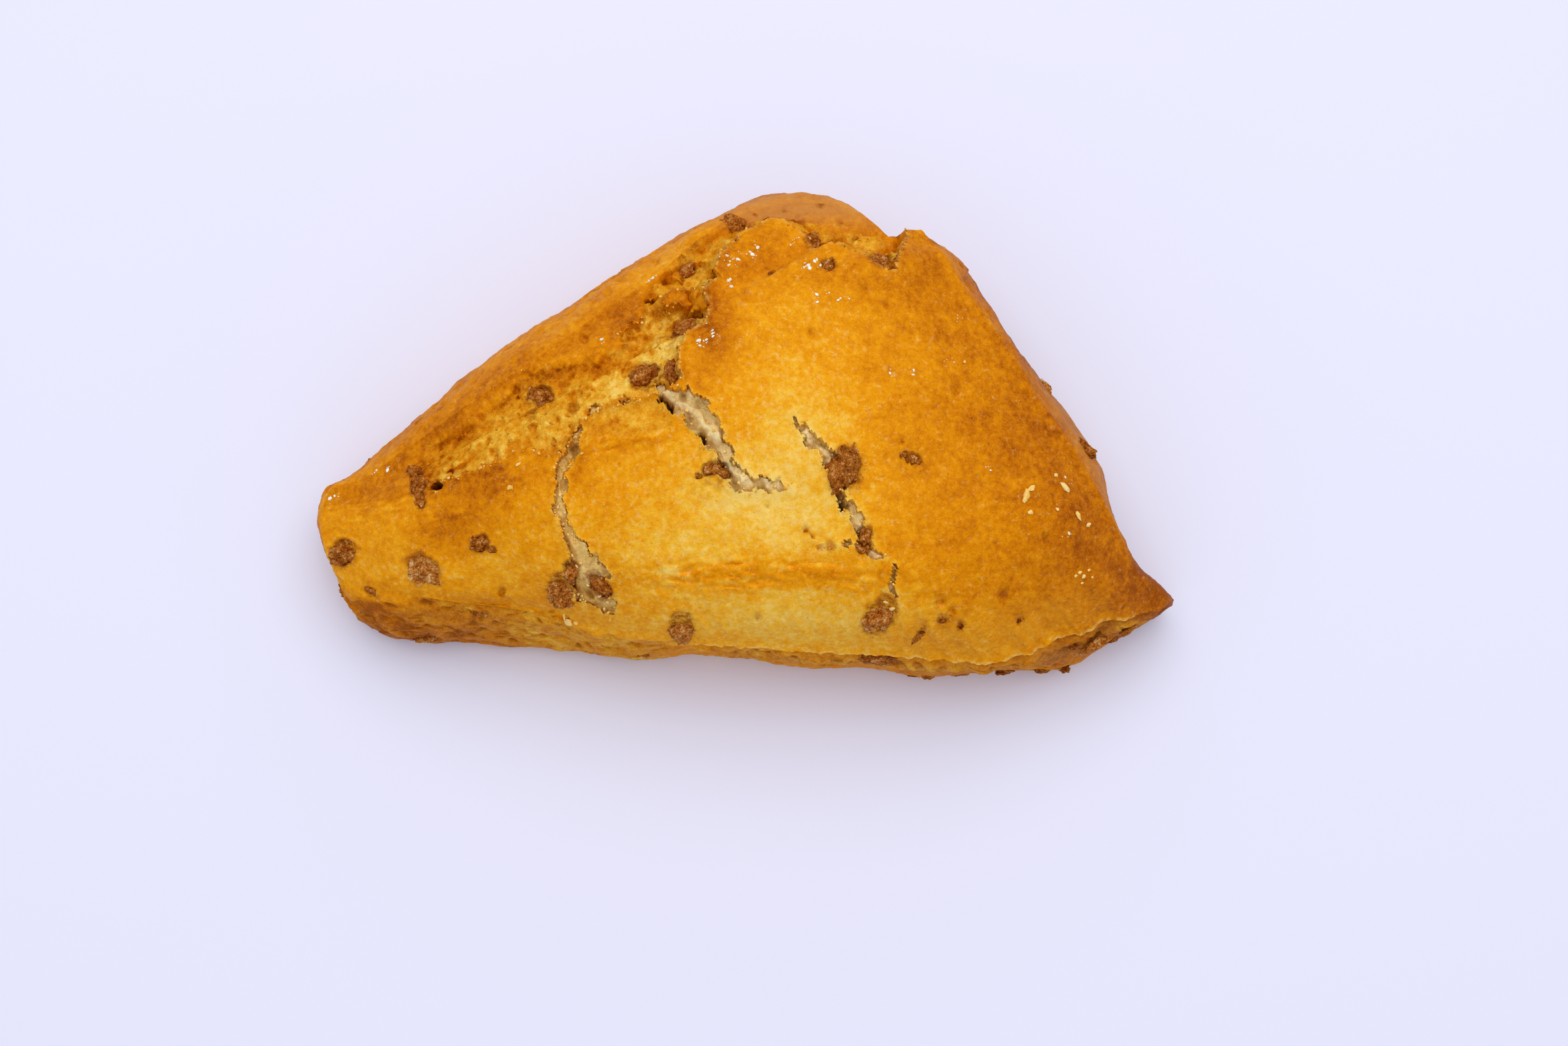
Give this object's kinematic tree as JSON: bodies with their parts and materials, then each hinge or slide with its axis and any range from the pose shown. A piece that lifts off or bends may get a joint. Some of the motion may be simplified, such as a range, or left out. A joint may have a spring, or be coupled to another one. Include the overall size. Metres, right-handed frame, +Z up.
{
  "type": "scone",
  "caption": "Baked wedge-shaped scone with a cracked golden crust, torn crumb patches and cinnamon chips, flat underneath.",
  "frame": {"origin": "on the surface it rests on, under the middle of the scone's bounding box", "axes": "+X from the blunt end to the sharp end, +Y from the long front side to the round back corner, +Z up"},
  "size_m": [0.1426, 0.0808, 0.0437],
  "materials": {
    "crust": "baked golden-brown crust, satin on top, with pale crumb in the cracks and red-brown cinnamon chips"
  },
  "bodies": {
    "root": {"scone": "crust"}
  },
  "joints": []
}
